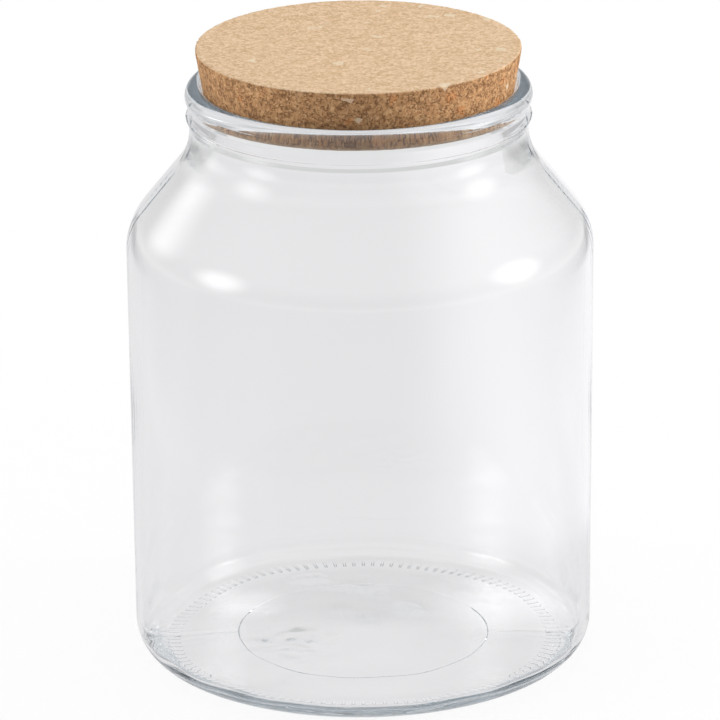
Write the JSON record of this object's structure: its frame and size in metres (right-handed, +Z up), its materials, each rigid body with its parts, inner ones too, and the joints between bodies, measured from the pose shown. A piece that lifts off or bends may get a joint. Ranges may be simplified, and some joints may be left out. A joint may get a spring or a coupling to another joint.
{
  "type": "storage jar",
  "caption": "Round clear glass storage jar with a sloping shoulder, a beaded wide mouth and a tapered cork stopper that lifts out to open it.",
  "frame": {"origin": "centre of the base, on the plane that the jar stands on", "axes": "+Z up along the jar's axis, out through the mouth; +X to the right and +Y away from the viewer of the picture"},
  "size_m": [0.14, 0.1398, 0.1904],
  "materials": {
    "clear_glass": "polished",
    "agglomerated_cork": "matte"
  },
  "bodies": {
    "jar": {"glass_jar": "clear_glass"},
    "stopper": {"cork_stopper": "agglomerated_cork"}
  },
  "joints": [
    {"name": "stopper_lift", "type": "slide", "parent": "jar", "child": "stopper", "axis": [0, 0, 1], "range_m": [0, 0.1]}
  ]
}
